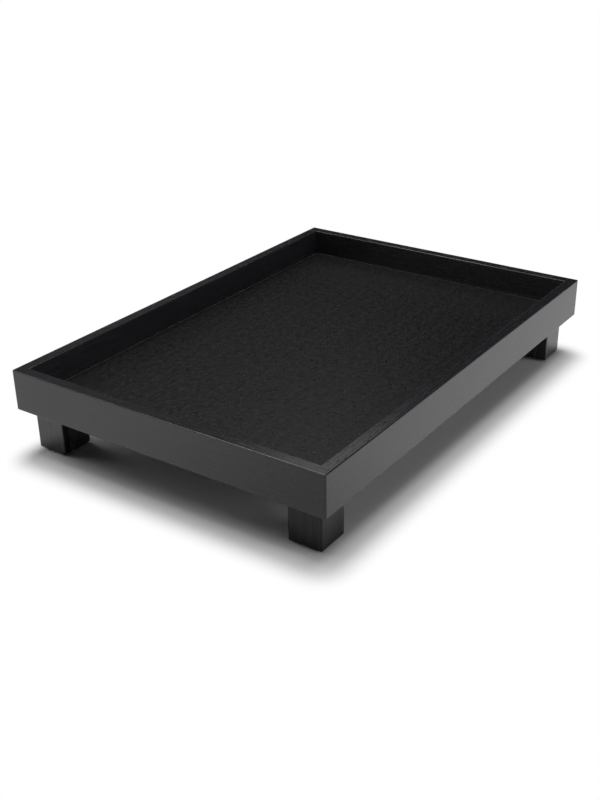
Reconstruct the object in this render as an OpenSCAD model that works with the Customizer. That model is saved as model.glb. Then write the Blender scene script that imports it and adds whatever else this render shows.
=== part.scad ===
// Footed wooden tray.
// Four grooved rails are mitred into a rim, with a loose key across each mitre. A plywood base
// sits in the groove, a thin deck lies on the base, and a square block foot is screwed up
// under each corner. The rails hide the base's edges and the deck hides the screws.
// Millimetres. The origin is under the middle of the tray, on the surface that it stands on.
// X runs along the length, Y across it and Z up. The front is the long side at -Y.

/* [Rim] */
// Length of the tray over its rails
tray_l = 430; // [300:1:600]
// Width of the tray over its rails
tray_w = 300; // [200:1:450]
// Height of the rails
rim_h = 35; // [28:0.5:60]
// Thickness of the rails
rim_t = 10; // [9:0.5:14]

/* [Floor] */
// Height of the base panel above the lower edge of the rails
base_lift = 4; // [2:0.5:8]
// Thickness of the base panel
base_t = 4; // [3:0.5:6]
// Thickness of the deck laid on the base
deck_t = 3; // [2:0.5:5]
// Shadow gap between the deck and the rails
deck_reveal = 0.5; // [0.2:0.1:2]
// Depth of the groove that holds the base panel
groove_depth = 4; // [2:0.5:5]

/* [Feet] */
// Side of a square foot
foot_s = 29; // [24:0.5:45]
// Drop of the feet, pads and all, below the rails
foot_drop = 37; // [26:0.5:70]
// Chamfer round the lower end of a foot
foot_chamfer = 2.5; // [0.5:0.1:4]
// Eased vertical edges of a foot
foot_arris = 1; // [0.5:0.1:3]

/* [Pads] */
// Diameter of a felt pad
pad_d = 18; // [10:0.5:21]
// Thickness of a felt pad
pad_t = 1; // [1:0.1:3]
// Rounding of a pad's lower edge
pad_edge = 0.3; // [0.1:0.1:0.7]

/* [Mitre keys] */
// Thickness of a key, which is also the diameter of its round ends
key_t = 2.5; // [1.5:0.1:3]
// Width of a key across the mitre
key_w = 6; // [3:0.5:7]
// Wood left between a key and the top of the rails
key_cover = 5; // [3:0.5:7]
// Wood left between a key and the groove under it
key_lift = 2; // [1:0.5:4]

/* [Screws] */
// Diameter of a screw's shank
screw_d = 3.5; // [2.5:0.1:4.5]
// Diameter of its countersunk head
screw_head_d = 7; // [6:0.1:8]
// Overall length of a screw
screw_l = 20; // [14:0.5:25]
// Length of its tapered point
screw_point = 4; // [2:0.5:6]
// Distance between the two screws of a foot
screw_pitch = 16; // [12:0.5:18]

/* [Edges] */
// Rounding of the rim's outer top edge
arris_top_out = 1; // [0.3:0.1:2.5]
// Rounding of the rim's inner top edge
arris_top_in = 1; // [0.3:0.1:2.5]
// Rounding of the rim's outer lower edge
arris_low_out = 0.6; // [0.3:0.1:2.5]
// Rounding of the rim's inner lower edge
arris_low_in = 0.4; // [0.2:0.1:1.2]
// Rounding of the rim's four upright corners
arris_corner = 1.5; // [0.5:0.1:3]
// Rounding of the deck's upper edge
arris_deck = 0.6; // [0.2:0.1:1.5]

/* [Clearances] */
// Play of the base panel in the height of its groove
groove_clear = 0.2; // [0.1:0.05:0.5]
// Room for the base panel to swell at the bottom of the groove
swell_gap = 0.3; // [0.2:0.05:1]
// Gap between a foot and the rails beside it
foot_clear = 0.1; // [0.05:0.05:0.5]
// Gap all round a key in its slots
key_clear = 0.1; // [0.05:0.05:0.3]
// Gap round a screw in the base panel
screw_clear = 0.25; // [0.1:0.05:0.5]
// Gap round a screw in its pilot hole
pilot_clear = 0.05; // [0.05:0.05:0.2]
// Depth left free under a screw's point
pilot_spare = 1; // [0.5:0.5:3]

/* [Hidden] */
$fn = 48;

// Overrun of a cut past the face that it opens
over = 1;
// Place of a key along the mitre, as a share of the way from the outer to the inner corner
key_place_share = 0.55;
// Flat width left at the end of a screw's point
screw_tip_d = 0.6;
// Width and depth of the cross in a screw's head, and its span as a share of the head
drive_w = 0.9;
drive_depth = 1.2;
drive_span_share = 0.5;

// Heights above the surface that the tray stands on
rim_z = foot_drop;
rim_top = rim_z + rim_h;
base_z = rim_z + base_lift;
deck_z = base_z + base_t;
groove_h = base_t + groove_clear;

// The well between the rails, and the panels that follow from it
well_l = tray_l - 2 * rim_t;
well_w = tray_w - 2 * rim_t;
base_reach = groove_depth - swell_gap;
base_l = well_l + 2 * base_reach;
base_w = well_w + 2 * base_reach;
deck_l = well_l - 2 * deck_reveal;
deck_w = well_w - 2 * deck_reveal;

// Place of a foot's middle, inside the corner of the rails
foot_x = well_l / 2 - foot_clear - foot_s / 2;
foot_y = well_w / 2 - foot_clear - foot_s / 2;
foot_h = base_z - pad_t;

// Place and height of a key
key_in = rim_t * key_place_share;
key_z = base_z + groove_h + key_lift;
key_h = rim_top - key_cover - key_z;

// A screw's head is let in until its top is flush with the base panel
screw_head_h = (screw_head_d - screw_d) / 2;
screw_off = screw_pitch / (2 * sqrt(2));

// Colours: black stain on the rails, the deck and the feet, and what lies hidden
stain = [0.13, 0.13, 0.14];
stain_deck = [0.10, 0.10, 0.11];
stain_foot = [0.11, 0.11, 0.12];
birch = [0.78, 0.66, 0.49];
beech = [0.72, 0.54, 0.37];
steel = [0.62, 0.62, 0.60];
felt = [0.07, 0.07, 0.08];

// What rounding an edge at the origin takes off a shape that fills +X and +Y
module arris(r) {
    difference() {
        translate([-over, -over]) square(r + over);
        translate([r, r]) circle(r);
    }
}

// Section across a rail: its outer face is at X 0 and its lower edge at Y 0
module rail_section() {
    difference() {
        square([rim_t, rim_h]);
        arris(arris_low_out);
        translate([rim_t, 0]) mirror([1, 0]) arris(arris_low_in);
        translate([0, rim_h]) mirror([0, 1]) arris(arris_top_out);
        translate([rim_t, rim_h]) rotate(180) arris(arris_top_in);
        translate([rim_t - groove_depth, base_lift]) square([groove_depth + over, groove_h]);
    }
}

// Plan of a rail: 45 degree mitres at both ends, drawn past both faces, and the half of each
// upright corner's rounding that falls on this rail
module rail_plan(length) {
    difference() {
        polygon([
            [-length / 2 - over, -over], [length / 2 + over, -over],
            [length / 2 - rim_t - over, rim_t + over], [-length / 2 + rim_t + over, rim_t + over]
        ]);
        for (side = [0, 1]) mirror([side, 0]) translate([-length / 2, 0]) arris(arris_corner);
    }
}

// Outline of a key on the mitre's face: round at both ends, as a cutter leaves its slot
module key_outline(thickness, height) {
    square([thickness, height - thickness], center = true);
    for (end = [-1, 1]) translate([0, end * (height - thickness) / 2]) circle(d = thickness);
}

// A key standing on Z 0 across the corner of two rails that run along +X and +Y, with the
// outer corner at the origin. Room is the gap that a slot leaves all round the key.
module key_shape(room) {
    translate([key_in, key_in, key_h / 2])
        rotate(-45)
            rotate([90, 0, 90])
                linear_extrude(key_w + 2 * room, center = true)
                    key_outline(key_t + 2 * room, key_h + 2 * room);
}

// A whole rail along X, centred, with its outer face at Y 0 and its inner face at rim_t
module rail(length) {
    translate([0, 0, rim_z])
        difference() {
            intersection() {
                rotate([90, 0, 90])
                    linear_extrude(length + 2 * over, center = true) rail_section();
                translate([0, 0, -over]) linear_extrude(rim_h + 2 * over) rail_plan(length);
            }
            for (side = [0, 1])
                mirror([side, 0, 0])
                    translate([-length / 2, 0, key_z - rim_z]) key_shape(key_clear);
        }
}

module front_rail() {
    color(stain) translate([0, -tray_w / 2, 0]) rail(tray_l);
}

module back_rail() {
    color(stain) translate([0, tray_w / 2, 0]) rotate(180) rail(tray_l);
}

module left_rail() {
    color(stain) translate([-tray_l / 2, 0, 0]) rotate(-90) rail(tray_w);
}

module right_rail() {
    color(stain) translate([tray_l / 2, 0, 0]) rotate(90) rail(tray_w);
}

// Puts a shape drawn for the front left corner at another one. Sides are -1 or 1.
module at_corner(side_x, side_y) {
    mirror([side_x > 0 ? 1 : 0, 0, 0]) mirror([0, side_y > 0 ? 1 : 0, 0]) children();
}

module mitre_key(side_x, side_y) {
    color(beech)
        at_corner(side_x, side_y)
            translate([-tray_l / 2, -tray_w / 2, key_z]) key_shape(0);
}

module mitre_key_front_left() { mitre_key(-1, -1); }
module mitre_key_front_right() { mitre_key(1, -1); }
module mitre_key_back_left() { mitre_key(-1, 1); }
module mitre_key_back_right() { mitre_key(1, 1); }

// Repeats a shape at the two screws of the front left foot, on the foot's diagonal
module at_foot_screws() {
    for (end = [-1, 1])
        translate([-foot_x + end * screw_off, -foot_y - end * screw_off, 0]) children();
}

// The hole that a screw passes through in the base panel, with its mouth at Z 0
module countersunk_hole() {
    hole_r = screw_d / 2 + screw_clear;
    mouth_r = screw_head_d / 2 + screw_clear;
    rotate_extrude()
        polygon([
            [0, -base_t - over], [hole_r, -base_t - over], [hole_r, -screw_head_h],
            [mouth_r, 0], [mouth_r, over], [0, over]
        ]);
}

module base_panel() {
    color(birch)
        difference() {
            translate([-base_l / 2, -base_w / 2, base_z]) cube([base_l, base_w, base_t]);
            for (side_x = [-1, 1], side_y = [-1, 1])
                at_corner(side_x, side_y)
                    at_foot_screws() translate([0, 0, deck_z]) countersunk_hole();
        }
}

// Section across the deck in either direction, with its two upper edges eased
module deck_section(span) {
    difference() {
        translate([-span / 2, 0]) square([span, deck_t]);
        for (side = [0, 1])
            mirror([side, 0]) translate([-span / 2, deck_t]) mirror([0, 1]) arris(arris_deck);
    }
}

module deck_panel() {
    color(stain_deck)
        translate([0, 0, deck_z])
            intersection() {
                rotate([90, 0, 90])
                    linear_extrude(deck_l + 2 * over, center = true) deck_section(deck_w);
                rotate([90, 0, 0])
                    linear_extrude(deck_w + 2 * over, center = true) deck_section(deck_l);
            }
}

// Side view of a foot, chamfered at its lower end and drawn past its plan on every side
module foot_side() {
    low = foot_s / 2 - foot_chamfer - over;
    high = foot_s / 2 + over;
    polygon([
        [-low, -over], [low, -over], [high, foot_chamfer + over],
        [high, foot_h + over], [-high, foot_h + over], [-high, foot_chamfer + over]
    ]);
}

// Plan of a foot, with its four upright edges eased
module foot_plan() {
    difference() {
        square(foot_s, center = true);
        for (side_x = [0, 1], side_y = [0, 1])
            mirror([side_x, 0]) mirror([0, side_y])
                translate([-foot_s / 2, -foot_s / 2]) arris(foot_arris);
    }
}

module foot(side_x, side_y) {
    color(stain_foot)
        at_corner(side_x, side_y)
            difference() {
                translate([-foot_x, -foot_y, pad_t])
                    intersection() {
                        linear_extrude(foot_h) foot_plan();
                        rotate([90, 0, 0])
                            linear_extrude(foot_s + 2 * over, center = true) foot_side();
                        rotate([90, 0, 90])
                            linear_extrude(foot_s + 2 * over, center = true) foot_side();
                    }
                at_foot_screws()
                    translate([0, 0, deck_z - screw_l - pilot_spare])
                        cylinder(
                            d = screw_d + 2 * pilot_clear,
                            h = screw_l + pilot_spare - base_t + over
                        );
            }
}

module foot_front_left() { foot(-1, -1); }
module foot_front_right() { foot(1, -1); }
module foot_back_left() { foot(-1, 1); }
module foot_back_right() { foot(1, 1); }

// A countersunk wood screw, point down, with the top of its head at Z 0
module wood_screw() {
    drive_span = screw_head_d * drive_span_share;
    difference() {
        rotate_extrude()
            polygon([
                [0, -screw_l], [screw_tip_d / 2, -screw_l], [screw_d / 2, screw_point - screw_l],
                [screw_d / 2, -screw_head_h], [screw_head_d / 2, 0], [0, 0]
            ]);
        for (turn = [0, 90])
            rotate(turn)
                translate([-drive_span / 2, -drive_w / 2, -drive_depth])
                    cube([drive_span, drive_w, drive_depth + over]);
    }
}

module foot_screws() {
    color(steel)
        for (side_x = [-1, 1], side_y = [-1, 1])
            at_corner(side_x, side_y)
                at_foot_screws() translate([0, 0, deck_z]) wood_screw();
}

// A round felt pad under the middle of a foot, with its lower edge worn round
module felt_pad(side_x, side_y) {
    color(felt)
        at_corner(side_x, side_y)
            translate([-foot_x, -foot_y, 0])
                rotate_extrude()
                    difference() {
                        square([pad_d / 2, pad_t]);
                        translate([pad_d / 2, 0]) mirror([1, 0]) arris(pad_edge);
                    }
}

module felt_pad_front_left() { felt_pad(-1, -1); }
module felt_pad_front_right() { felt_pad(1, -1); }
module felt_pad_back_left() { felt_pad(-1, 1); }
module felt_pad_back_right() { felt_pad(1, 1); }

front_rail();
back_rail();
left_rail();
right_rail();
mitre_key_front_left();
mitre_key_front_right();
mitre_key_back_left();
mitre_key_back_right();
base_panel();
deck_panel();
foot_front_left();
foot_front_right();
foot_back_left();
foot_back_right();
foot_screws();
felt_pad_front_left();
felt_pad_front_right();
felt_pad_back_left();
felt_pad_back_right();
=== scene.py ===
# %% [markdown]
# # A black wooden tray on four block feet
# The tray is a rim of four thin rails, mitred at the corners, round a sunken floor. Everything
# is wood, stained black and finished with a satin lacquer. This lesson builds the parts that
# show, gives each one its finish, and sets up the camera and the light.
# The construction model is loaded first. It fixes every size and place, so each part made here
# goes where the model says, in metres, with its place in its mesh.

# %% Load the construction model
import math

import bmesh
import bpy
from mathutils import Matrix, Vector, noise


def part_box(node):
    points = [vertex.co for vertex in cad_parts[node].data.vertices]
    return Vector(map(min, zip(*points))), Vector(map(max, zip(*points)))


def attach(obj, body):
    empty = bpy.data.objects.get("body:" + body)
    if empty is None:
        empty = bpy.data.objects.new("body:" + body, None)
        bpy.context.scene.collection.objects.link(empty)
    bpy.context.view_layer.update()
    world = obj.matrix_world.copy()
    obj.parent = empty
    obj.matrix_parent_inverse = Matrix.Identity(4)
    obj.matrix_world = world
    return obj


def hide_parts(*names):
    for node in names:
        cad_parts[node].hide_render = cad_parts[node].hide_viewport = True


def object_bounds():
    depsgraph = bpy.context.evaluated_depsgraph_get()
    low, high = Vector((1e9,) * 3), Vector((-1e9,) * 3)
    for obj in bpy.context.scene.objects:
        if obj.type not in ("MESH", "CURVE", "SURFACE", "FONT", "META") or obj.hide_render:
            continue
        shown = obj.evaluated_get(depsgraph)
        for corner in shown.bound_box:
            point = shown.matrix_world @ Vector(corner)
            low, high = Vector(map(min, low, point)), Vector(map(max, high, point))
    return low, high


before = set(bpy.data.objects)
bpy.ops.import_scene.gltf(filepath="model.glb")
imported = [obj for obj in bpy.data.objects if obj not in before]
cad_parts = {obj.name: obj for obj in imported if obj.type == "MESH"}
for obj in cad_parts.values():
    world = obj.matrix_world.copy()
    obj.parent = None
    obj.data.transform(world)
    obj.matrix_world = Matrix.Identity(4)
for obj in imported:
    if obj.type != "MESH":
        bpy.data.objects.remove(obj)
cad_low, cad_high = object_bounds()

MM = 0.001
print("the model measures", [round(side / MM, 2) for side in cad_high - cad_low], "mm")

# %% [markdown]
# ## The camera
# The photograph looks down on the corner between the left and the front side, from a little
# less than a metre away. A camera could be set by eye, but every proportion is judged through
# it. So its place and turn were worked out from the tray's own right angles, whose edges run
# to three vanishing points. The frame is upright, 600 by 800.

# %% Camera
CAMERA_PLACE = (-0.7397, -0.5003, 0.4462)
CAMERA_TURN_DEG = (63.221, 0.892, -55.279)
CAMERA_LENS_MM = 50.06

camera = bpy.data.objects.new("camera", bpy.data.cameras.new("camera"))
camera.location = CAMERA_PLACE
camera.rotation_euler = [math.radians(turn) for turn in CAMERA_TURN_DEG]
camera.data.lens = CAMERA_LENS_MM
camera.data.clip_start = 0.01
bpy.context.scene.collection.objects.link(camera)
bpy.context.scene.camera = camera
bpy.context.scene.view_settings.view_transform = "Standard"
print("the camera stands", round(camera.location.length, 3), "m from the tray")

# %% [markdown]
# ## Colours and nodes
# Colours are written as they look on a screen, because nobody can picture the linear values
# that the renderer counts in, and one function turns them into those. A finish is a tree of
# shader nodes. It could be joined up by hand, socket by socket. Here a second function adds a
# node, fills its sockets and joins it to the nodes before it, so that a finish reads as a list.


# %% Colour and node helpers
def linear(code):
    """The linear colour of a screen colour such as "#1a1a1c"."""
    shares = [int(code[i:i + 2], 16) / 255 for i in (1, 3, 5)]
    return [s / 12.92 if s <= 0.04045 else ((s + 0.055) / 1.055) ** 2.4 for s in shares] + [1]


def add_node(tree, kind, values=None, links=None, **settings):
    """A new node: settings of its own, values for its sockets, and links into them."""
    node = tree.nodes.new(kind)
    for name, value in settings.items():
        setattr(node, name, value)
    for socket, value in (values or {}).items():
        node.inputs[socket].default_value = value
    for socket, source in (links or {}).items():
        tree.links.new(source, node.inputs[socket])
    return node


print("black stain is", [round(c, 4) for c in linear("#1a1a1c")[:3]], "in linear values")

# %% [markdown]
# ## The paper
# The tray stands on white paper that is lit until it burns out to pure white. A very strong
# lamp would do that, but it would turn the black tray grey as well. So near the tray the paper
# is a plain white surface, which takes the shadow, and further out it is mixed with a glow of
# exactly white. It turns to glow sooner on the far sides, which face the light, than on the
# near ones. The lacquer reflects the glow too, dimmer from the near left, where the paper is
# furthest from the light. That shades the left rail from its far end to its near one.

# %% Where the paper is burnt out
# The shadow is whole this far out from a field under the tray, and gone at the second distance
SHADOW_REACH = 8 * MM
WHITE_FROM = 34 * MM
# The middle of that field, and how far the field falls short of the tray's sides
FIELD_MIDDLE = Vector((-10, -10.5, 0)) * MM
FIELD_SHORT = Vector((10, 16.5, 0)) * MM


def new_material(name):
    """An empty node material, its tree, and the place of each point in metres."""
    material = bpy.data.materials.new(name)
    material.use_nodes = True
    tree = material.node_tree
    tree.nodes.clear()
    return material, tree, add_node(tree, "ShaderNodeTexCoord").outputs["Object"]


paper, tree, spot = new_material("white_backdrop_paper")
place = add_node(tree, "ShaderNodeVectorMath", operation="SUBTRACT", links={0: spot},
                 values={1: FIELD_MIDDLE})
size = add_node(tree, "ShaderNodeVectorMath", operation="ABSOLUTE", links={0: place.outputs[0]})
past = add_node(tree, "ShaderNodeVectorMath", operation="SUBTRACT", links={0: size.outputs[0]},
                values={1: cad_high - FIELD_SHORT})
clear = add_node(tree, "ShaderNodeVectorMath", operation="MAXIMUM", values={1: (0, 0, 0)},
                 links={0: past.outputs[0]})
gap = add_node(tree, "ShaderNodeVectorMath", operation="LENGTH", links={0: clear.outputs[0]})
burnt = add_node(tree, "ShaderNodeMapRange", interpolation_type="SMOOTHSTEP",
                 values={"From Min": SHADOW_REACH, "From Max": WHITE_FROM},
                 links={"Value": gap.outputs["Value"]})
print("the paper is pure white from", round(WHITE_FROM / MM), "mm outside the shadow's field")

# %% Who sees the glow
# The camera and the reflections see the glow. Light that the paper sends on to the tray is left
# as it is, so the glow adds none.
light_path = add_node(tree, "ShaderNodeLightPath")
seen = add_node(tree, "ShaderNodeMath", operation="ADD",
                links={0: light_path.outputs["Is Camera Ray"],
                       1: light_path.outputs["Is Glossy Ray"]})
seen = add_node(tree, "ShaderNodeMath", operation="ADD", use_clamp=True,
                links={0: seen.outputs[0], 1: light_path.outputs["Is Transmission Ray"]})
share = add_node(tree, "ShaderNodeMath", operation="MULTIPLY",
                 links={0: burnt.outputs["Result"], 1: seen.outputs[0]})
# Where the reflected paper is dim, in metres: the middle, the radii and the share of white
DIM_MIDDLE = (-0.3, -0.15, 0)
DIM_RADII = (0.04, 0.28)
DIM_SHARE = 0.6
away = add_node(tree, "ShaderNodeVectorMath", operation="DISTANCE", links={0: spot},
                values={1: DIM_MIDDLE})
level = add_node(tree, "ShaderNodeMapRange", interpolation_type="SMOOTHSTEP",
                 links={"Value": away.outputs["Value"]},
                 values={"From Min": DIM_RADII[0], "From Max": DIM_RADII[1],
                         "To Min": DIM_SHARE})
level = add_node(tree, "ShaderNodeMath", operation="MAXIMUM",
                 links={0: level.outputs[0], 1: light_path.outputs["Is Camera Ray"]})
print("reflected paper has", DIM_SHARE, "of its white at the near left")

# %% Floor
FLOOR_SPAN = 60
PAPER_DROP = 0.05 * MM


def finished_object(name, bm, material):
    """An object at the origin from a bmesh, which is used up."""
    mesh = bpy.data.meshes.new(name)
    bm.to_mesh(mesh)
    bm.free()
    piece = bpy.data.objects.new(name, mesh)
    piece.data.materials.append(material)
    bpy.context.scene.collection.objects.link(piece)
    return piece


lit = add_node(tree, "ShaderNodeBsdfDiffuse", values={"Color": linear("#f4f4f4")})
glow = add_node(tree, "ShaderNodeEmission", values={"Color": linear("#ffffff")},
                links={"Strength": level.outputs[0]})
sheet = add_node(tree, "ShaderNodeMixShader",
                 links={0: share.outputs[0], 1: lit.outputs[0], 2: glow.outputs[0]})
# From below, the paper is clear to the camera, so that the underside can be looked at
below = add_node(tree, "ShaderNodeMath", operation="MULTIPLY",
                 links={0: add_node(tree, "ShaderNodeNewGeometry").outputs["Backfacing"],
                        1: light_path.outputs["Is Camera Ray"]})
clear_sheet = add_node(tree, "ShaderNodeBsdfTransparent")
both = add_node(tree, "ShaderNodeMixShader",
                links={0: below.outputs[0], 1: sheet.outputs[0], 2: clear_sheet.outputs[0]})
add_node(tree, "ShaderNodeOutputMaterial", links={"Surface": both.outputs[0]})

bm = bmesh.new()
bmesh.ops.create_grid(bm, x_segments=1, y_segments=1, size=FLOOR_SPAN / 2,
                      matrix=Matrix.Translation((0, 0, -PAPER_DROP)))
floor = finished_object("paper_floor", bm, paper)
print("the floor spans", FLOOR_SPAN, "m")

# %% [markdown]
# ## The light
# The light comes from one large softbox close above the tray, so the shadow is short and soft
# on every side. A small card stands behind the far corner, and only the tops of the near rails
# reflect it. The room above the paper is dim, so the upward faces stay black, apart from a few
# soft pale walls and a narrow light that draws the bright line along the left rail. White
# screens stand round the table as well. They give every other view a white background, and
# they leave out the far side, because the upward faces mirror that side to the camera.
# Walls and screens could be objects, but those would hide the tray from some views. Here they
# are painted into the world's shader, by the direction that a ray leaves in.

# %% Lamps
LAMP_HEIGHT = 0.8
# Place, width and depth in metres, and brightness, where white paper is 1
LAMPS = {
    "softbox": ((0.05, 0.07), (0.62, 0.84), 3.3),
    "card": ((0.8, 0.5), (0.4, 0.3), 0.9),
}

for name, (place, (wide, deep), brightness) in LAMPS.items():
    lamp = bpy.data.lights.new(name, "AREA")
    lamp.shape = "RECTANGLE"
    lamp.size, lamp.size_y = wide, deep
    lamp.energy = math.pi * wide * deep * brightness
    panel = bpy.data.objects.new(name, lamp)
    panel.location = (*place, LAMP_HEIGHT)
    bpy.context.scene.collection.objects.link(panel)
    print(name, "gives", round(lamp.energy, 2), "W")

# %% Dim room
# Brightness of the room against the sine of the angle above the horizon, white at its foot
ROOM_STOPS = [(0.0, 1.0), (0.04, 1.0), (0.07, 0.0), (1.0, 0.0)]
# From this sine up, a pale ceiling that is brightest straight above
CEILING_FROM = 0.87
CEILING_LEVEL = 1.8

room = bpy.data.worlds.new("dim_studio")
room.use_nodes = True
room.node_tree.nodes.clear()
tree = room.node_tree
direction = add_node(tree, "ShaderNodeTexCoord").outputs["Generated"]
height = add_node(tree, "ShaderNodeSeparateXYZ", links={0: direction}).outputs["Z"]
ramp = add_node(tree, "ShaderNodeValToRGB", links={"Fac": height})
stops = ramp.color_ramp.elements
while len(stops) < len(ROOM_STOPS):
    stops.new(0.5)
for stop, (position, level) in zip(stops, ROOM_STOPS):
    stop.position = position
    stop.color = (level, level, level, 1)
ceiling = add_node(tree, "ShaderNodeMapRange", links={"Value": height},
                   values={"From Min": CEILING_FROM, "From Max": 1, "To Max": CEILING_LEVEL})
level = add_node(tree, "ShaderNodeMath", operation="ADD",
                 links={0: ramp.outputs["Color"], 1: ceiling.outputs["Result"]})
print("the room is dark from a sine of", ROOM_STOPS[2][0], "to", CEILING_FROM)

# %% Pale walls
# Compass angle, height, inner and outer radius in degrees, and brightness
WALLS = [
    (94, 24, 15, 30, 2.0),
    (286, 23, 10, 25, 2.0),
    (62, 27, 5, 32, 0.04),
    (44, 28, 2, 13, 0.06),
]


def patch_of_sky(compass, height_deg, full, edge):
    """1 in a round patch of the room, 0 outside it, with a soft edge."""
    way = Matrix.Rotation(math.radians(compass), 3, "Z") @ Matrix.Rotation(
        math.radians(-height_deg), 3, "Y") @ Vector((1, 0, 0))
    toward = add_node(tree, "ShaderNodeVectorMath", operation="DOT_PRODUCT",
                      links={0: direction}, values={1: way})
    patch = add_node(tree, "ShaderNodeMapRange", interpolation_type="SMOOTHSTEP",
                     links={"Value": toward.outputs["Value"]},
                     values={"From Min": math.cos(math.radians(edge)),
                             "From Max": math.cos(math.radians(full))})
    return patch.outputs["Result"]


for *patch, brightness in WALLS:
    level = add_node(tree, "ShaderNodeMath", operation="MULTIPLY_ADD", values={1: brightness},
                     links={0: patch_of_sky(*patch), 2: level.outputs[0]})
print(len(WALLS), "soft walls stand in the room")

# %% White screens and a narrow light
# The screens fade out between these sines, and leave out this patch of the room
SCREEN_FADE = (0.36, 0.42)
LEFT_OUT = (0, 20, 62, 75)
# The narrow light is written as the walls are, but only the gloss shows it
STRIP = (112, 54, 4, 10, 7.0)

screens = add_node(tree, "ShaderNodeMapRange", links={"Value": height},
                   values={"From Min": SCREEN_FADE[1], "From Max": SCREEN_FADE[0]})
screens = add_node(tree, "ShaderNodeMath", operation="SUBTRACT", use_clamp=True,
                   links={0: screens.outputs["Result"], 1: patch_of_sky(*LEFT_OUT)})
*patch, brightness = STRIP
shown = add_node(tree, "ShaderNodeMath", operation="MULTIPLY_ADD", values={1: brightness},
                 links={0: patch_of_sky(*patch), 2: screens.outputs[0]})
light_path = add_node(tree, "ShaderNodeLightPath")
mirrored = add_node(tree, "ShaderNodeMath", operation="ADD",
                    links={0: light_path.outputs["Is Glossy Ray"],
                           1: light_path.outputs["Is Transmission Ray"]})
shown = add_node(tree, "ShaderNodeMath", operation="MULTIPLY",
                 links={0: mirrored.outputs[0], 1: shown.outputs[0]})
# The camera itself sees white all round
white = add_node(tree, "ShaderNodeMath", operation="MAXIMUM",
                 links={0: shown.outputs[0], 1: light_path.outputs["Is Camera Ray"]})
level = add_node(tree, "ShaderNodeMath", operation="MAXIMUM",
                 links={0: level.outputs[0], 1: white.outputs[0]})
backdrop = add_node(tree, "ShaderNodeBackground", links={"Color": level.outputs[0]})
add_node(tree, "ShaderNodeOutputWorld", links={"Surface": backdrop.outputs[0]})
bpy.context.scene.world = room
print("the room's shader has", len(tree.nodes), "nodes")

# %% [markdown]
# ## The grain of the wood
# The wood is ash, stained black. Three things still show through the stain: the growth rings as
# faint broad bands, the fibres as fine streaks along the grain, and the open pores as short
# narrow dents that the thin lacquer doesn't fill. A picture of wood could be wrapped round each
# piece, but its lines would break at the edges. This pattern fills the space that a piece is
# cut from, so a foot shows streaks on its sides and rings on its end, as a real block does.

# %% Grain of the wood
# Distance of the growth rings and how strong they are, then length and width of the fibres and
# of the pores, and their depth. Real fibres are a few hundredths of a millimetre wide, so these
# are drawn coarser, and twice as deep, to show. The thicker stock of the feet has wider rings.
# A sliced veneer cuts its fibres at a slant, so there they show as short flecks, drawn some
# seven times as coarse and as deep as they are.
PORE_DEPTH = 0.06 * MM
RAIL_GRAIN = (3.2 * MM, 0.45, (18 * MM, 1.6 * MM), (6 * MM, 0.7 * MM), 2 * PORE_DEPTH)
FOOT_GRAIN = (6 * MM, 0.5, (40 * MM, 2.4 * MM), (9 * MM, 0.8 * MM), 2 * PORE_DEPTH)
DECK_GRAIN = (14 * MM, 0.12, (6 * MM, 4 * MM), (4.5 * MM, 3 * MM), 7 * PORE_DEPTH)
# The wave texture repeats every pi / 10 of its own units
TEXTURE_PERIOD = math.pi / 10
# The heart of the rings lies this far off the middle line, in those units, so that they curve
HEART = (0, 0.4, -0.9)
# How fast the rings wander along the grain, and how much wider they are up than across
RING_DRIFT = 0.5
RING_STRETCH = 2
# The noise begins to be a pore at the first of these, and is a whole one at the second
PORE_RANGE = (0.62, 0.72)


def grain_patterns(tree, place, turn, ring_apart, fibre, pore):
    """Rings, fibres and pores of wood with its grain along X, or turned by some degrees."""
    along = add_node(tree, "ShaderNodeMapping", links={"Vector": place},
                     values={"Rotation": [math.radians(a) for a in turn]}).outputs[0]
    across = TEXTURE_PERIOD / ring_apart
    rings = add_node(tree, "ShaderNodeMapping", links={"Vector": along},
                     values={"Location": HEART,
                             "Scale": (RING_DRIFT, across, across / RING_STRETCH)})
    rings = add_node(tree, "ShaderNodeTexWave", wave_type="RINGS", rings_direction="X",
                     wave_profile="SAW", links={"Vector": rings.outputs[0]},
                     values={"Scale": 1, "Distortion": 5, "Detail": 3, "Detail Scale": 0.6})
    streaks = []
    for (long, wide), fine in ((fibre, {"Detail": 4, "Roughness": 0.6}), (pore, {"Detail": 1})):
        drawn = add_node(tree, "ShaderNodeMapping", links={"Vector": along},
                         values={"Scale": (1 / long, 1 / wide, 1 / wide)})
        streaks.append(add_node(tree, "ShaderNodeTexNoise", links={"Vector": drawn.outputs[0]},
                                values={"Scale": 1, **fine}).outputs["Fac"])
    pores = add_node(tree, "ShaderNodeMapRange", links={"Value": streaks[1]},
                     values={"From Min": PORE_RANGE[0], "From Max": PORE_RANGE[1]})
    return rings.outputs["Fac"], streaks[0], pores.outputs[0]


print("rings lie", [round(grain[0] / MM, 1) for grain in (RAIL_GRAIN, FOOT_GRAIN, DECK_GRAIN)],
      "mm apart in the rails, the feet and the deck")

# %% [markdown]
# ## Black stain under satin lacquer
# Stain blackens the wood and lets its figure show, so the colour runs from one black to a
# lighter one with the rings and fibres. Edges that hands and sandpaper reach lose a little
# stain, and look slightly browner there. The lacquer is brushed on thin. It gives a satin
# shine, uneven along the fibres, and its skin sinks into the pores, which breaks up what it
# mirrors. Each piece could have a material of its own, but the wood is the same all over, so
# one function makes them all: only the way of the grain, the blacks and the shine differ.

# %% Stained wood
# The share of the figure that the stain follows, and of the noise that the shine follows
TONE_RANGE = (0.35, 0.65)
SHINE_RANGE = (0.3, 0.7)
# How far the roughness falls and rises along the fibres
ROUGH_SPREAD = (0.05, 0.06)
# What a full coat of lacquer has
LACQUER_IOR = 1.5


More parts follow.
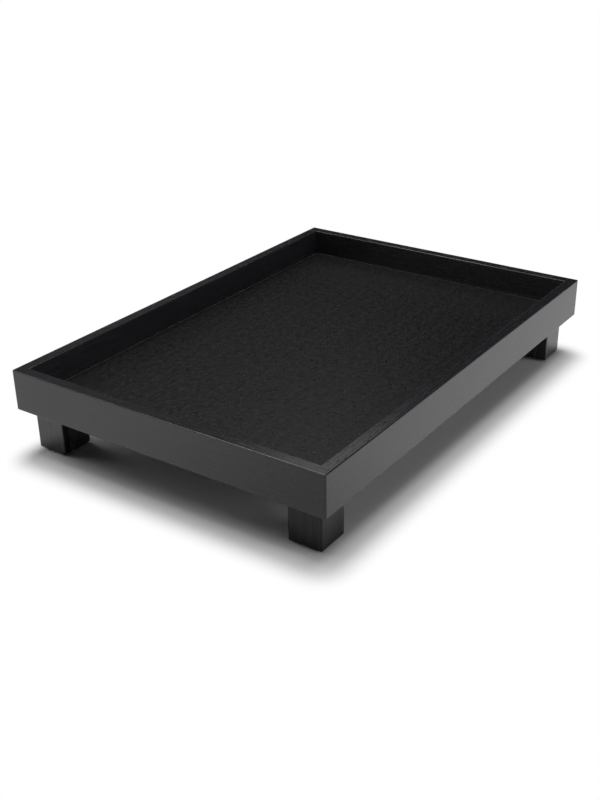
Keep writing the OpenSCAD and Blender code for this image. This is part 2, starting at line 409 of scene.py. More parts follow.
def stained_wood(name, turn, colours, rough, grain, ior=LACQUER_IOR):
    """Stained wood in a dark, a light and a worn black, of a roughness and a grain. On the deck,
    the third colour is a painted highlight.
    """
    dark, light, bare_and_highlight = colours
    ring_apart, ring_share, fibre, pore, depth = grain
    material, tree, place = new_material(name)
    rings, fibres, pores = grain_patterns(tree, place, turn, ring_apart, fibre, pore)
    figure = add_node(tree, "ShaderNodeMath", operation="MULTIPLY_ADD", values={1: ring_share},
                      links={0: rings, 2: fibres})
    tone = add_node(tree, "ShaderNodeMapRange", links={"Value": figure.outputs[0]},
                    values={"From Min": TONE_RANGE[0], "From Max": TONE_RANGE[1] + ring_share})
    stain = add_node(tree, "ShaderNodeMix", data_type="RGBA", links={"Factor": tone.outputs[0]},
                     values={"A": linear(dark), "B": linear(light)})
    # Paler where worn; on the deck, the pale strip along its edges is a painted highlight
    worn = add_node(tree, "ShaderNodeAttribute", attribute_name="wear_and_highlight")
    worn = add_node(tree, "ShaderNodeMath", operation="MULTIPLY", use_clamp=True,
                    links={0: worn.outputs["Fac"], 1: fibres})
    colour = add_node(tree, "ShaderNodeMix", data_type="RGBA",
                      links={"Factor": worn.outputs[0], "A": stain.outputs["Result"]},
                      values={"B": linear(bare_and_highlight)})
    shine = add_node(tree, "ShaderNodeMapRange", links={"Value": fibres},
                     values={"From Min": SHINE_RANGE[0], "From Max": SHINE_RANGE[1],
                             "To Min": rough - ROUGH_SPREAD[0],
                             "To Max": rough + ROUGH_SPREAD[1]})
    relief = add_node(tree, "ShaderNodeMath", operation="MULTIPLY_ADD", values={1: -1},
                      links={0: pores, 2: fibres})
    bump = add_node(tree, "ShaderNodeBump", links={"Height": relief.outputs[0]},
                    values={"Strength": 0.35, "Distance": depth})
    wood = add_node(tree, "ShaderNodeBsdfPrincipled", values={"IOR": ior},
                    links={"Base Color": colour.outputs["Result"],
                           "Roughness": shine.outputs[0], "Normal": bump.outputs[0]})
    add_node(tree, "ShaderNodeOutputMaterial", links={"Surface": wood.outputs[0]})
    return material


# The rim has the most lacquer, and mirrors the room softly
GRAIN_ALONG_Y = (0, 0, -90)
RIM_ROUGH = 0.16
RIM_BLACKS = ("#121214", "#29292d", "#2b2722")
rim_long = stained_wood("black_stained_ash_long_rails", (0, 0, 0), RIM_BLACKS, RIM_ROUGH,
                        RAIL_GRAIN)
rim_short = stained_wood("black_stained_ash_short_rails", GRAIN_ALONG_Y, RIM_BLACKS, RIM_ROUGH,
                         RAIL_GRAIN)
print("the rails are", rim_long.name, "and", rim_short.name)

# %% Wood of the feet and the deck
# The feet stand with their grain upright, and their wider rings show more strongly
GRAIN_UPRIGHT = (0, 90, 0)
foot_wood = stained_wood("black_stained_ash_feet", GRAIN_UPRIGHT,
                         ("#000000", "#2f2f32", "#2b2722"), RIM_ROUGH, FOOT_GRAIN)
# Painted shade: the near block is a darker copy of the feet's wood, with darker blacks, and it
# mirrors less, as it is rougher and its IOR is lower than a full coat's
SHADED_FOOT_ROUGH = 0.2
DECK_AND_SHADED_FOOT_IOR = 1.36
near_foot_shaded_wood = stained_wood("black_stained_ash_thirsty_foot", GRAIN_UPRIGHT,
                              ("#000000", "#1f1f22", "#211e1b"), SHADED_FOOT_ROUGH, FOOT_GRAIN,
                              DECK_AND_SHADED_FOOT_IOR)
# The veneer soaked up its lacquer, and its coarse pores leave the deck the dullest and the
# blackest
DECK_ROUGH = 0.36
# Its third, pale colour is a painted highlight along the deck's edges
deck_wood = stained_wood("black_stained_ash_veneer", (0, 0, 0),
                         ("#0b0b0b", "#191919", "#62605d"), DECK_ROUGH, DECK_GRAIN, DECK_AND_SHADED_FOOT_IOR)
print("the feet are", foot_wood.name, "and", near_foot_shaded_wood.name, "and the deck", deck_wood.name)

# %% [markdown]
# ## The rim
# A real rim is cut, glued up and then sanded as one frame, so its rounded edges run on round
# the corners. Four rails could be made one by one, but their rounded edges would then have to
# meet exactly at the mitres. So the rim is modelled in the order of the work. A flat sheet is
# inset to a ring and pulled up to a frame, the groove for the base is pushed into its inner
# wall, and the edges are rounded. Only then is the frame parted at the mitres.

# %% Frame of the rim
RIM_THICK = 10 * MM

rim_low, rim_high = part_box("front_rail")
rim_bottom, rim_top = rim_low.z, rim_high.z
half_long, half_wide = cad_high.x, cad_high.y

rim = bmesh.new()
bmesh.ops.create_grid(rim, x_segments=1, y_segments=1, size=1)
bmesh.ops.transform(rim, verts=rim.verts[:],
                    matrix=Matrix.Translation((0, 0, rim_bottom))
                    @ Matrix.Diagonal((half_long, half_wide, 1, 1)))
middle = rim.faces[:]
ring = bmesh.ops.inset_region(rim, faces=middle, thickness=RIM_THICK, use_boundary=True,
                              use_even_offset=True)["faces"]
bmesh.ops.delete(rim, geom=middle, context="FACES_ONLY")


def pull_up(bm, faces, height):
    """Pulls faces up, with walls behind them, and turns every face outwards."""
    pulled = bmesh.ops.extrude_face_region(bm, geom=faces)["geom"]
    bmesh.ops.translate(bm, verts=[v for v in pulled if isinstance(v, bmesh.types.BMVert)],
                        vec=(0, 0, height))
    bmesh.ops.recalc_face_normals(bm, faces=bm.faces[:])


pull_up(rim, ring, rim_top - rim_bottom)
print("the frame has", len(rim.faces), "faces")

# %% [markdown]
# ## The groove for the base
# The base panel sits loose in a groove that runs round the inside of the rim, so it can swell
# and shrink, and no fixing shows. A groove could be cut with a Boolean. Here the inner wall is
# cut along two lines, and the band between them is pushed into the wood, which leaves the mesh
# as clean as it was.

# %% Groove for the base
BASE_LIFT = 4 * MM
GROOVE_HIGH = 4.2 * MM
GROOVE_DEEP = 4 * MM
# Places closer than this count as one
HAIR = 0.01 * MM

groove_bottom = rim_bottom + BASE_LIFT


def inner_wall():
    """The faces of the frame that look inwards."""
    return [f for f in rim.faces if f.normal.xy.dot(f.calc_center_median().xy) < -HAIR]


for level in (groove_bottom, groove_bottom + GROOVE_HIGH):
    wall = inner_wall()
    edges = dict.fromkeys(e for f in wall for e in f.edges)
    verts = dict.fromkeys(v for f in wall for v in f.verts)
    bmesh.ops.bisect_plane(rim, geom=[*wall, *edges, *verts], plane_co=(0, 0, level),
                           plane_no=(0, 0, 1))
band = [f for f in inner_wall()
        if groove_bottom < f.calc_center_median().z < groove_bottom + GROOVE_HIGH]
pushed = bmesh.ops.extrude_face_region(rim, geom=band)["geom"]
bmesh.ops.delete(rim, geom=band, context="FACES")
for vert in [v for v in pushed if isinstance(v, bmesh.types.BMVert)]:
    vert.co += Vector((math.copysign(GROOVE_DEEP, vert.co.x),
                       math.copysign(GROOVE_DEEP, vert.co.y), 0))
print("the groove took", len(band), "faces of the inner wall")

# %% [markdown]
# ## The rounded edges of the rim
# A sharp edge hurts the hand and doesn't hold lacquer, so every edge is rounded with sandpaper,
# most at the corners and on the outside of the top. The rounds are small, but each one catches
# the light as a thin line, and those lines draw the black tray. A Bevel modifier would round
# all edges alike. Here each loop of edges is found by its height and its side, and gets a
# radius of its own.

# %% Upright corners of the rim
ARRIS_CORNER = 1.5 * MM
ARRIS_STEPS = 6


def round_edges(bm, edges, radius, steps=ARRIS_STEPS):
    """Rounds edges to a radius."""
    return bmesh.ops.bevel(bm, geom=list(edges), offset=radius, offset_type="OFFSET",
                           segments=steps, profile=0.5, affect="EDGES", material=-1,
                           clamp_overlap=True)


def at(value, target):
    """Whether a place is the same as another, to a hair."""
    return abs(value - target) < HAIR


uprights = [e for e in rim.edges if e.verts[0].co.xy == e.verts[1].co.xy
            and at(abs(e.verts[0].co.x), half_long)]
round_edges(rim, uprights, ARRIS_CORNER)
print("rounded", len(uprights), "upright corners to", round(ARRIS_CORNER / MM, 1), "mm")

# %% Long edges of the rim
ARRIS_TOP = 1 * MM
ARRIS_TOP_IN = 0.6 * MM
ARRIS_LOW_OUT = 0.6 * MM
ARRIS_LOW_IN = 0.4 * MM
# A face counts as upright while its normal rises or falls by less than this
UPRIGHT_TO = 0.1


def is_upright(face):
    """Whether a face is a wall."""
    return abs(face.normal.z) < UPRIGHT_TO


def edge_loop(level, outer):
    """Edges at a height between an upward or downward face and a wall of the given side."""
    found = []
    for edge in rim.edges:
        if not all(at(v.co.z, level) for v in edge.verts):
            continue
        for face in edge.link_faces:
            way = face.normal.xy.dot(face.calc_center_median().xy)
            if is_upright(face) and (way > HAIR if outer else way < -HAIR):
                found.append(edge)
                break
    return found


for level, outer, radius in ((rim_top, True, ARRIS_TOP), (rim_top, False, ARRIS_TOP_IN),
                             (rim_bottom, True, ARRIS_LOW_OUT),
                             (rim_bottom, False, ARRIS_LOW_IN)):
    loop = edge_loop(level, outer)
    round_edges(rim, loop, radius)
    print("rounded", len(loop), "edges to", round(radius / MM, 1), "mm")

# %% [markdown]
# ## What hand work leaves
# Planed and sanded wood is never quite flat. The long faces keep waves of a few hundredths of a
# millimetre, and the rounded edges are a little fuller here and there, which shows as a highlight
# that comes and goes along them. A bump in the material would leave the outline ruler straight,
# so the mesh itself is bent. The frame is first cut into short lengths, so that there are
# points to move, and each point then sinks by a smooth noise. Nothing rises above the model.

# %% Points along the rim
CUT_PITCH = 7 * MM
# The cuts keep this far from the inner corners, from the bottom with its groove, and from the
# rounded top
CUT_IN = 1 * MM
CUT_FROM_BOTTOM = 10 * MM
CUT_FROM_TOP = 3 * MM


def cut_across(bm, axis, low, high, pitch=CUT_PITCH):
    """Cuts a mesh into lengths between two places along an axis."""
    count = max(1, round((high - low) / pitch))
    for step in range(count + 1):
        place, way = Vector((0, 0, 0)), Vector((0, 0, 0))
        place[axis], way[axis] = low + (high - low) * step / count, 1
        bmesh.ops.bisect_plane(bm, geom=bm.verts[:] + bm.edges[:] + bm.faces[:],
                               plane_co=place, plane_no=way)


inner_long, inner_wide = half_long - RIM_THICK, half_wide - RIM_THICK
cut_across(rim, 0, -inner_long + CUT_IN, inner_long - CUT_IN)
cut_across(rim, 1, -inner_wide + CUT_IN, inner_wide - CUT_IN)
cut_across(rim, 2, rim_bottom + CUT_FROM_BOTTOM, rim_top - CUT_FROM_TOP)
print("the frame now has", len(rim.verts), "points")

# %% Waves in the rim
WAVE_LENGTH = 55 * MM
WAVE_DEPTH = 0.08 * MM
EDGE_WAVE_LENGTH = 16 * MM
EDGE_WAVE_DEPTH = 0.12 * MM


def edge_share(normal):
    """0 on a flat that faces along an axis, 1 in the middle of a rounded edge."""
    return min(1, (1 - max(abs(c) for c in normal)) / (1 - math.sqrt(0.5)))


def wave(place, length, depth):
    """A smooth noise from 0 to a depth."""
    return (1 + noise.noise(place / length)) / 2 * depth


def make_uneven(bm, keep=lambda vert: False):
    """Sinks each point by a smooth noise, more on the rounded edges than on the flats."""
    bm.normal_update()
    moves = []
    for vert in bm.verts:
        edge = edge_share(vert.normal)
        on_flat = wave(vert.co, WAVE_LENGTH, WAVE_DEPTH)
        on_edge = wave(vert.co, EDGE_WAVE_LENGTH, EDGE_WAVE_DEPTH)
        moves.append((vert, vert.normal * ((1 - edge) * on_flat + edge * on_edge)))
    for vert, move in moves:
        if not keep(vert):
            vert.co -= move


def open_edges(bm):
    """How many edges of a mesh don't join two faces."""
    return sum(not e.is_manifold for e in bm.edges)


make_uneven(rim)
print("the waves are up to", round(max(WAVE_DEPTH, EDGE_WAVE_DEPTH) / MM, 2), "mm deep, and",
      open_edges(rim), "edges are open")

# %% [markdown]
# ## The mitres
# The rails meet at 45 degrees, so that their figure turns the corner and no end grain shows.
# A copy of the frame is made for each rail and cut off at both of its mitres, and the cuts are
# closed. The edges then meet exactly, as they do on a frame that was sanded in one piece.

# %% Rails parted at the mitres
SIDES = {"front_rail": (0, -1), "back_rail": (0, 1), "left_rail": (-1, 0), "right_rail": (1, 0)}
rails = {}
for name, (side_x, side_y) in SIDES.items():
    rail = rim.copy()
    for turn in (-1, 1):
        # A corner of the tray, and the way out of this rail across the mitre there
        corner = Vector((half_long * (side_x or turn), half_wide * (side_y or turn), 0))
        across = Vector((-side_x or turn, -side_y or turn, 0))
        bmesh.ops.bisect_plane(rail, geom=rail.verts[:] + rail.edges[:] + rail.faces[:],
                               plane_co=corner, plane_no=across, clear_outer=True,
                               dist=HAIR / 10)
        bmesh.ops.holes_fill(rail, edges=[e for e in rail.edges if e.is_boundary], sides=0)
    bmesh.ops.recalc_face_normals(rail, faces=rail.faces[:])
    print(name, len(rail.faces), "faces, open edges", open_edges(rail), "volume",
          round(rail.calc_volume() * 1e6, 2), "cm3")
    rails[name] = rail
rim.free()

# %% [markdown]
# ## Key slots
# A small beech key crosses each mitre inside the wood. Its slot is routed into both rails, with
# round ends as a cutter leaves them. The slot could be pushed in like the groove, but it lies
# askew in the middle of a mitre. So a cutter shape is made, a tenth of a millimetre larger than
# the key all round, and taken away from the rails with a Boolean modifier, which is applied.

# %% Shape of a key slot
KEY_THICK = 2.5 * MM
KEY_WIDE = 6 * MM
KEY_CLEAR = 0.1 * MM
KEY_STEPS = 6
# The ends are rounded by nearly half the thickness, so that their rounds don't meet
KEY_ROUNDING = 0.98


def key_cutter(corner_x, corner_y):
    """The slot for a key, through the mitre of one corner."""
    low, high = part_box("mitre_key_" + ("front" if corner_y < 0 else "back")
                       + ("_left" if corner_x < 0 else "_right"))
    half = Vector((KEY_THICK / 2 + KEY_CLEAR, (high.z - low.z) / 2 + KEY_CLEAR))
    bm = bmesh.new()
    face = bmesh.ops.create_grid(bm, x_segments=1, y_segments=1, size=1,
                                 matrix=Matrix.Diagonal((half.x, half.y, 1, 1)))["verts"]
    bmesh.ops.bevel(bm, geom=face, offset=half.x * KEY_ROUNDING, offset_type="OFFSET",
                    segments=KEY_STEPS, profile=0.5, affect="VERTICES", material=-1)
    pull_up(bm, bm.faces[:], KEY_WIDE + 2 * KEY_CLEAR)
    bmesh.ops.translate(bm, verts=bm.verts[:], vec=(0, 0, -KEY_WIDE / 2 - KEY_CLEAR))
    across = math.radians(-45 if corner_x * corner_y > 0 else 45)
    bmesh.ops.transform(bm, verts=bm.verts[:],
                        matrix=Matrix.Translation((low + high) / 2)
                        @ Matrix.Rotation(across, 4, "Z")
                        @ Matrix.Rotation(math.radians(90), 4, "X")
                        @ Matrix.Rotation(math.radians(90), 4, "Y"))
    return bm


print("a slot is", round((KEY_THICK + 2 * KEY_CLEAR) / MM, 1), "by",
      round((KEY_WIDE + 2 * KEY_CLEAR) / MM, 1), "mm")


# %% Slots carved into the rails
def bake_modifiers(piece):
    """Applies the modifiers of a piece to its mesh."""
    shape = piece.evaluated_get(bpy.context.evaluated_depsgraph_get())
    mesh = bpy.data.meshes.new_from_object(shape)
    piece.modifiers.clear()
    piece.data = mesh


def carve(piece, cutter):
    """Takes the cutter's shape, a bmesh, out of a piece."""
    block = finished_object("cutter", cutter, rim_long)
    cut = piece.modifiers.new("cut", "BOOLEAN")
    cut.operation, cut.solver, cut.object = "DIFFERENCE", "EXACT", block
    bake_modifiers(piece)
    bpy.data.objects.remove(block)


rail_pieces = {}
for name, rail in rails.items():
    side_x, side_y = SIDES[name]
    piece = finished_object(name + "_wood", rail, rim_short if side_x else rim_long)
    for turn in (-1, 1):
        carve(piece, key_cutter(side_x or turn, side_y or turn))
    rail_pieces[name] = piece
    print(name, "has", len(piece.data.vertices), "points with its slots")

# %% [markdown]
# ## Wear and shading
# The stained wood asks each point how worn it is. That could be painted by hand, but wear
# follows the shape: it is most in the middle of a rounded edge. So it is worked out from the
# way a point faces, and kept on the mesh as an attribute. On the deck the same attribute holds a
# painted highlight instead, a strip along its edges. The piece is then shaded smooth, with its
# sharp edges kept, and a Weighted Normal modifier keeps the shading of the flats flat.

# %% Rails finished
SHARP_FROM_DEG = 40


def finish_piece(piece, slot, *nodes, worn=lambda vert: edge_share(vert.normal)):
    """Marks on a piece how worn each point is (on the deck, a painted highlight strip), smooths
    its shading and joins it to the tray.
    """
    bm = bmesh.new()
    bm.from_mesh(piece.data)
    wear_and_highlight = bm.verts.layers.float.new("wear_and_highlight")
    for vert in bm.verts:
        vert[wear_and_highlight] = worn(vert)
    bm.to_mesh(piece.data)
    bm.free()
    piece.data.shade_smooth()
    piece.data.set_sharp_from_angle(angle=math.radians(SHARP_FROM_DEG))
    shading = piece.modifiers.new("shading", "WEIGHTED_NORMAL")
    shading.keep_sharp = True
    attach(piece, "root")
    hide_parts(*nodes)
    print(piece.name, len(piece.data.polygons), "faces")


for name, piece in rail_pieces.items():
    finish_piece(piece, "rim_wood", name)

# %% [markdown]
# ## The deck
# The floor that one sees is a thin veneered board laid on the base panel, with half a
# millimetre of air to the rails and its upper edges eased. A cube would do for its shape, but
# not for its waves. So it starts as a flat grid, which gives it points to be uneven with, and
# is pulled up to its thickness. A pale strip along its edges is painted highlight, the light line
# where the deck meets the rails.

# %% Deck
ARRIS_DECK = 0.6 * MM
DECK_STEPS = 4
# Width of the strip of painted highlight along the deck's edges
EDGE_HIGHLIGHT_WIDE = 1.6 * MM

deck_low, deck_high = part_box("deck_panel")
deck_half = (deck_high - deck_low) / 2


def deck_edge_highlight(vert):
    """Painted highlight: 1 along the edges of the deck, 0 elsewhere."""
    past = max(abs(vert.co.x) - deck_half.x, abs(vert.co.y) - deck_half.y)
    return float(past > -EDGE_HIGHLIGHT_WIDE / 2)


bm = bmesh.new()
bmesh.ops.create_grid(bm, x_segments=round(deck_half.x * 2 / CUT_PITCH),
                      y_segments=round(deck_half.y * 2 / CUT_PITCH), size=1,
                      matrix=Matrix.Translation((0, 0, deck_low.z))
                      @ Matrix.Diagonal((deck_half.x, deck_half.y, 1, 1)))
bmesh.ops.inset_region(bm, faces=bm.faces[:], thickness=EDGE_HIGHLIGHT_WIDE, use_boundary=True,
                       use_even_offset=True)
pull_up(bm, bm.faces[:], deck_high.z - deck_low.z)
upper = [e for e in bm.edges if all(at(v.co.z, deck_high.z) for v in e.verts)
         and any(is_upright(f) for f in e.link_faces)]
round_edges(bm, upper, ARRIS_DECK, DECK_STEPS)
make_uneven(bm, keep=lambda vert: at(vert.co.z, deck_low.z))
print("eased", len(upper), "edges of the deck, open edges", open_edges(bm))
# The deck's strip of painted highlight goes in as its wear
finish_piece(finished_object("deck_wood", bm, deck_wood), "deck_veneer", "deck_panel",
             worn=deck_edge_highlight)

# %% [markdown]
# ## The feet
# Each foot is a square block, sawn from thicker stock of the same wood with the grain upright.
# Its edges are eased, more at the lower end, where a sharp corner would splinter. It starts as
# a cube, and its edges are beveled one lot after the other, because each has its own radius.
# Two pilot holes for the screws are then bored into its upper end, by the Boolean used above.

# %% Blocks for the feet
FOOT_ARRIS = 1 * MM
FOOT_LOWER = 2.5 * MM
FOOT_UPPER = 0.3 * MM
FOOT_STEPS = 4
FOOT_CUT_IN = 3 * MM
FOOT_CUT_PITCH = 5 * MM


def foot_block(low, high):
    """A block with eased edges, a little uneven but flat at both ends."""
    bm = bmesh.new()
    bmesh.ops.create_cube(bm, size=1, matrix=Matrix.Translation((low + high) / 2)
                          @ Matrix.Diagonal((*(high - low), 1)))
    uprights = [e for e in bm.edges if e.verts[0].co.xy == e.verts[1].co.xy]
    round_edges(bm, uprights, FOOT_ARRIS, FOOT_STEPS)
    for radius, level in ((FOOT_LOWER, low.z), (FOOT_UPPER, high.z)):
        ends = [e for e in bm.edges if all(at(v.co.z, level) for v in e.verts)]
        round_edges(bm, ends, radius, FOOT_STEPS)
    for axis in range(3):
        cut_across(bm, axis, low[axis] + FOOT_CUT_IN, high[axis] - FOOT_CUT_IN, FOOT_CUT_PITCH)
    make_uneven(bm, keep=lambda vert: at(vert.co.z, low.z) or at(vert.co.z, high.z))
    return bm


feet = [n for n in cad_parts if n.startswith("foot_") and n != "foot_screws"]
print("the feet are", feet)

# %% Feet with their pilot holes
SCREW_PITCH = 16 * MM
PILOT_WIDE = 3.6 * MM
PILOT_LOW = 24 * MM
PILOT_STEPS = 24


def pilot_cutter(place, top):
    """The shape of a pilot hole at a place, up past the top of a foot."""
    bm = bmesh.new()
    depth = top + MM - PILOT_LOW
    bmesh.ops.create_cone(bm, cap_ends=True, segments=PILOT_STEPS, depth=depth,
                          radius1=PILOT_WIDE / 2, radius2=PILOT_WIDE / 2,
                          matrix=Matrix.Translation((place.x, place.y, PILOT_LOW + depth / 2)))
    return bm


for name in feet:
    low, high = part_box(name)
    middle = (low + high) / 2
    # The near foot takes the darker copy of the wood, which is painted shade
    wood = near_foot_shaded_wood if name == "foot_front_left" else foot_wood
    piece = finished_object(name + "_wood", foot_block(low, high), wood)
    # The two screws stand on the diagonal that runs across the tray's corner
    lean = -math.copysign(1, middle.x * middle.y)
    for end in (-1, 1):
        shift = Vector((end, end * lean, 0)) * SCREW_PITCH / 2 / math.sqrt(2)
        carve(piece, pilot_cutter(middle + shift, high.z))
    finish_piece(piece, "foot_wood", name)

# %% [markdown]
# ## Wool felt
# Felt is wool pressed until its fibres tangle. It has no shine, only the soft pale bloom of the
# fibre ends. Single hairs would be lost at this size, so a noise stands for the tangles, in the
# colour and in the relief, and a little sheen for the bloom.

# %% Wool felt
# Felt fibres are 0.03 mm thick and lie in tangles about half a millimetre wide
TANGLE = 0.5 * MM
FELT_RELIEF = 0.1 * MM

pad_felt, tree, place = new_material("pressed_wool_felt")
tangle = add_node(tree, "ShaderNodeTexNoise", links={"Vector": place},
                  values={"Scale": 1 / TANGLE, "Detail": 5, "Roughness": 0.7, "Distortion": 1.5})
colour = add_node(tree, "ShaderNodeMix", data_type="RGBA", links={"Factor": tangle.outputs["Fac"]},
                  values={"A": linear("#38383c"), "B": linear("#66666c")})
bump = add_node(tree, "ShaderNodeBump", links={"Height": tangle.outputs["Fac"]},
                values={"Strength": 0.8, "Distance": FELT_RELIEF})
felt = add_node(tree, "ShaderNodeBsdfPrincipled",
                values={"Roughness": 0.95, "Sheen Weight": 0.3, "Sheen Roughness": 0.5},
                links={"Base Color": colour.outputs["Result"], "Normal": bump.outputs[0]})
add_node(tree, "ShaderNodeOutputMaterial", links={"Surface": felt.outputs[0]})
print("tangles of felt are", round(TANGLE / MM, 1), "mm wide")

# %% [markdown]
# ## Felt pads
# A thin disc of felt under each foot keeps it from scratching the table. Felt is cut with a
# punch, so its edge is upright but soft and slightly ragged. A cylinder would be as smooth as
# plastic. So the disc is a circle, inset ring by ring to give it points, and pulled up. Its
# lower edge is rounded, where it rubs on the table, and its side is worn by a noise.

# %% Felt pads
PAD_STEPS = 72
PAD_RINGS = 6
PAD_ROUND = 0.3 * MM
PAD_ROUND_STEPS = 4
# Rows of points up the side, from a little above the rounding
PAD_ROW = 0.2 * MM
PAD_ROW_FROM = 0.15 * MM
# The noise wears what lies outside this share of the radius
PAD_WORN_FROM = 0.9
RAGGED_LENGTH = 0.9 * MM
RAGGED_DEPTH = 0.25 * MM

for name in [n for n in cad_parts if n.startswith("felt_pad_")]:
    low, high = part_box(name)
    middle, radius = (low + high) / 2, (high.x - low.x) / 2
    bm = bmesh.new()
    bmesh.ops.create_circle(bm, cap_ends=True, radius=radius, segments=PAD_STEPS,
                            matrix=Matrix.Translation((middle.x, middle.y, low.z)))
    for step in range(PAD_RINGS):
        bmesh.ops.inset_region(bm, faces=[max(bm.faces, key=lambda f: len(f.verts))],
                               thickness=radius / (PAD_RINGS + 2), use_boundary=True,
                               use_even_offset=True)
    pull_up(bm, bm.faces[:], high.z - low.z)
    worn = [e for e in bm.edges if all(at(v.co.z, low.z) for v in e.verts)
            and any(is_upright(f) for f in e.link_faces)]
    round_edges(bm, worn, PAD_ROUND, PAD_ROUND_STEPS)
    cut_across(bm, 2, low.z + PAD_ROUND + PAD_ROW_FROM, high.z - PAD_ROW, PAD_ROW)
    for vert in bm.verts:
        outward = Vector((vert.co.x - middle.x, vert.co.y - middle.y, 0))
        if outward.length > radius * PAD_WORN_FROM:
            vert.co -= outward.normalized() * wave(vert.co, RAGGED_LENGTH, RAGGED_DEPTH)
    finish_piece(finished_object(name.replace("felt_pad", "pad") + "_felt", bm, pad_felt),
                 "pad_felt", name)

# %% [markdown]
# ## The hidden parts
# The base panel, the mitre keys and the screws keep the meshes of the construction model,
# because their shapes are right as they are. They only get their finishes.
# The base is birch plywood, stained black like the rest but left matt. Its face is peeled off
# the log, so the rings make broad flames on it, and its edges show the three plies. Peeling
# draws the rings as contour lines, so the flames are the contour lines of a smooth noise.

# %% Figure of the plywood
# Length and width of the flames, and how many lines they have
FLAME = (160 * MM, 45 * MM)
FLAME_LINES = 9
# The fibres are drawn a millimetre wide, so that they show
PLY_FIBRE = (35 * MM, 1 * MM)
PLY_THICK = 4 / 3 * MM
# The plies repeat every second sheet, and this shift puts both faces in the pale half
PLY_SHIFT = 0.3

birch, tree, place = new_material("black_stained_birch_plywood")
flames = add_node(tree, "ShaderNodeMapping", links={"Vector": place},
                  values={"Scale": (1 / FLAME[0], 1 / FLAME[1], 0)})
flames = add_node(tree, "ShaderNodeTexNoise", links={"Vector": flames.outputs[0]},
                  values={"Scale": 1, "Detail": 2, "Distortion": 0.6})
lines = add_node(tree, "ShaderNodeMath", operation="MULTIPLY", values={1: FLAME_LINES},
                 links={0: flames.outputs["Fac"]})
lines = add_node(tree, "ShaderNodeMath", operation="FRACT", links={0: lines.outputs[0]})
fibres = add_node(tree, "ShaderNodeMapping", links={"Vector": place},
                  values={"Scale": (1 / PLY_FIBRE[0], 1 / PLY_FIBRE[1], 1 / PLY_FIBRE[1])})
fibres = add_node(tree, "ShaderNodeTexNoise", links={"Vector": fibres.outputs[0]},
                  values={"Scale": 1, "Detail": 4, "Roughness": 0.65})
plies = add_node(tree, "ShaderNodeTexWave", bands_direction="Z", links={"Vector": place},
                 values={"Scale": TEXTURE_PERIOD / (2 * PLY_THICK),
                         "Phase Offset": -math.tau * groove_bottom / (2 * PLY_THICK)
                         + math.pi / 2 + PLY_SHIFT})
print("a ply is", round(PLY_THICK / MM, 2), "mm thick")

# %% Birch plywood
FLAME_SHARE = 0.35

figure = add_node(tree, "ShaderNodeMath", operation="MULTIPLY_ADD", values={1: FLAME_SHARE},
                  links={0: lines.outputs[0], 2: fibres.outputs["Fac"]})
tone = add_node(tree, "ShaderNodeMath", operation="MULTIPLY",
                links={0: figure.outputs[0], 1: plies.outputs["Fac"]})
colour = add_node(tree, "ShaderNodeMix", data_type="RGBA", links={"Factor": tone.outputs[0]},
                  values={"A": linear("#121111"), "B": linear("#423d39")})
bump = add_node(tree, "ShaderNodeBump", links={"Height": fibres.outputs["Fac"]},
                values={"Strength": 0.5, "Distance": PORE_DEPTH})
ply = add_node(tree, "ShaderNodeBsdfPrincipled", values={"Roughness": 0.7},
               links={"Base Color": colour.outputs["Result"], "Normal": bump.outputs[0]})
add_node(tree, "ShaderNodeOutputMaterial", links={"Surface": ply.outputs[0]})


def dress(kind, finish):
    """Gives a finish to the construction model's own parts of one kind."""
    for name in [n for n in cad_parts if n.startswith(kind)]:
        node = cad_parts[name]
        node.data.materials.clear()
        node.data.materials.append(finish)
        print(name, "is", finish.name)


dress("base_panel", birch)

# %% [markdown]
# ## Bare beech
# The keys are planed beech without a finish: pale and matt, with the short dark rays that tell
# beech from other woods. The rays are a noise drawn out along the key's grain, of which only
# the highest parts are kept.

# %% Bare beech
# Length and width of a ray, drawn twice as wide as it is, and where in the noise it lies
RAY = (2.5 * MM, 0.35 * MM)
RAY_RANGE = (0.55, 0.7)

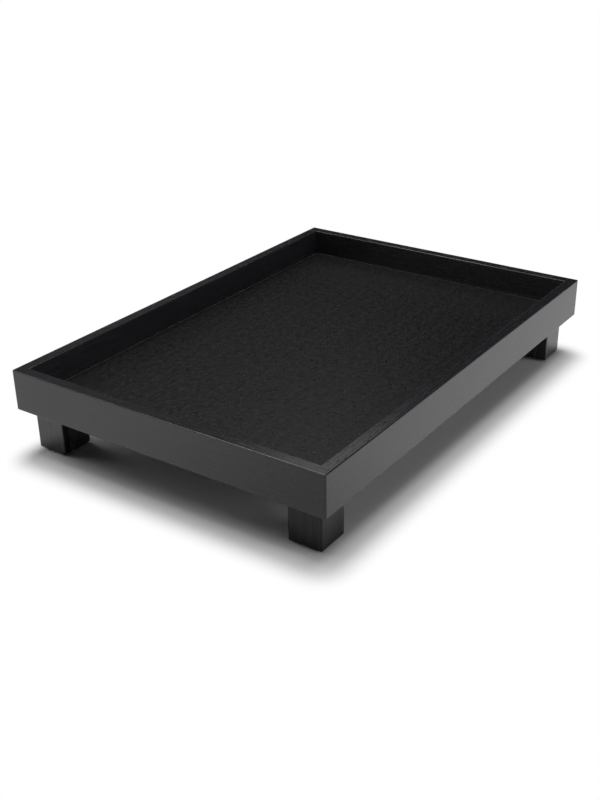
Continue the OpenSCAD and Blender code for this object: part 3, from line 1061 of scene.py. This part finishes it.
beech, tree, place = new_material("bare_beech")
rays = add_node(tree, "ShaderNodeMapping", links={"Vector": place},
                values={"Scale": (1 / RAY[1], 1 / RAY[1], 1 / RAY[0])})
rays = add_node(tree, "ShaderNodeTexNoise", links={"Vector": rays.outputs[0]},
                values={"Scale": 1, "Detail": 2})
dark = add_node(tree, "ShaderNodeMapRange", links={"Value": rays.outputs["Fac"]},
                values={"From Min": RAY_RANGE[0], "From Max": RAY_RANGE[1]})
colour = add_node(tree, "ShaderNodeMix", data_type="RGBA", links={"Factor": dark.outputs[0]},
                  values={"A": linear("#d9b68d"), "B": linear("#a87c55")})
bump = add_node(tree, "ShaderNodeBump", links={"Height": rays.outputs["Fac"]},
                values={"Strength": 0.4, "Distance": PORE_DEPTH})
planed = add_node(tree, "ShaderNodeBsdfPrincipled", values={"Roughness": 0.6},
                  links={"Base Color": colour.outputs["Result"], "Normal": bump.outputs[0]})
add_node(tree, "ShaderNodeOutputMaterial", links={"Surface": planed.outputs[0]})
dress("mitre_key", beech)

# %% [markdown]
# ## Zinc-plated steel
# The screws are steel with a thin coat of zinc, a bright metal that is a little cloudy. One
# noise makes the clouds, in the colour and in the roughness, because a cloud is a patch of
# coarser zinc crystals, paler and less shiny at once.

# %% Zinc-plated steel
CLOUD = 0.8 * MM
ZINC_ROUGH = (0.25, 0.42)

zinc, tree, place = new_material("zinc_plated_steel")
cloud = add_node(tree, "ShaderNodeTexNoise", links={"Vector": place},
                 values={"Scale": 1 / CLOUD, "Detail": 3})
colour = add_node(tree, "ShaderNodeMix", data_type="RGBA", links={"Factor": cloud.outputs["Fac"]},
                  values={"A": linear("#b4b6b8"), "B": linear("#d3d4d2")})
shine = add_node(tree, "ShaderNodeMapRange", links={"Value": cloud.outputs["Fac"]},
                 values={"From Min": SHINE_RANGE[0], "From Max": SHINE_RANGE[1],
                         "To Min": ZINC_ROUGH[0], "To Max": ZINC_ROUGH[1]})
metal = add_node(tree, "ShaderNodeBsdfPrincipled", values={"Metallic": 1},
                 links={"Base Color": colour.outputs["Result"], "Roughness": shine.outputs[0]})
add_node(tree, "ShaderNodeOutputMaterial", links={"Surface": metal.outputs[0]})
dress("foot_screws", zinc)
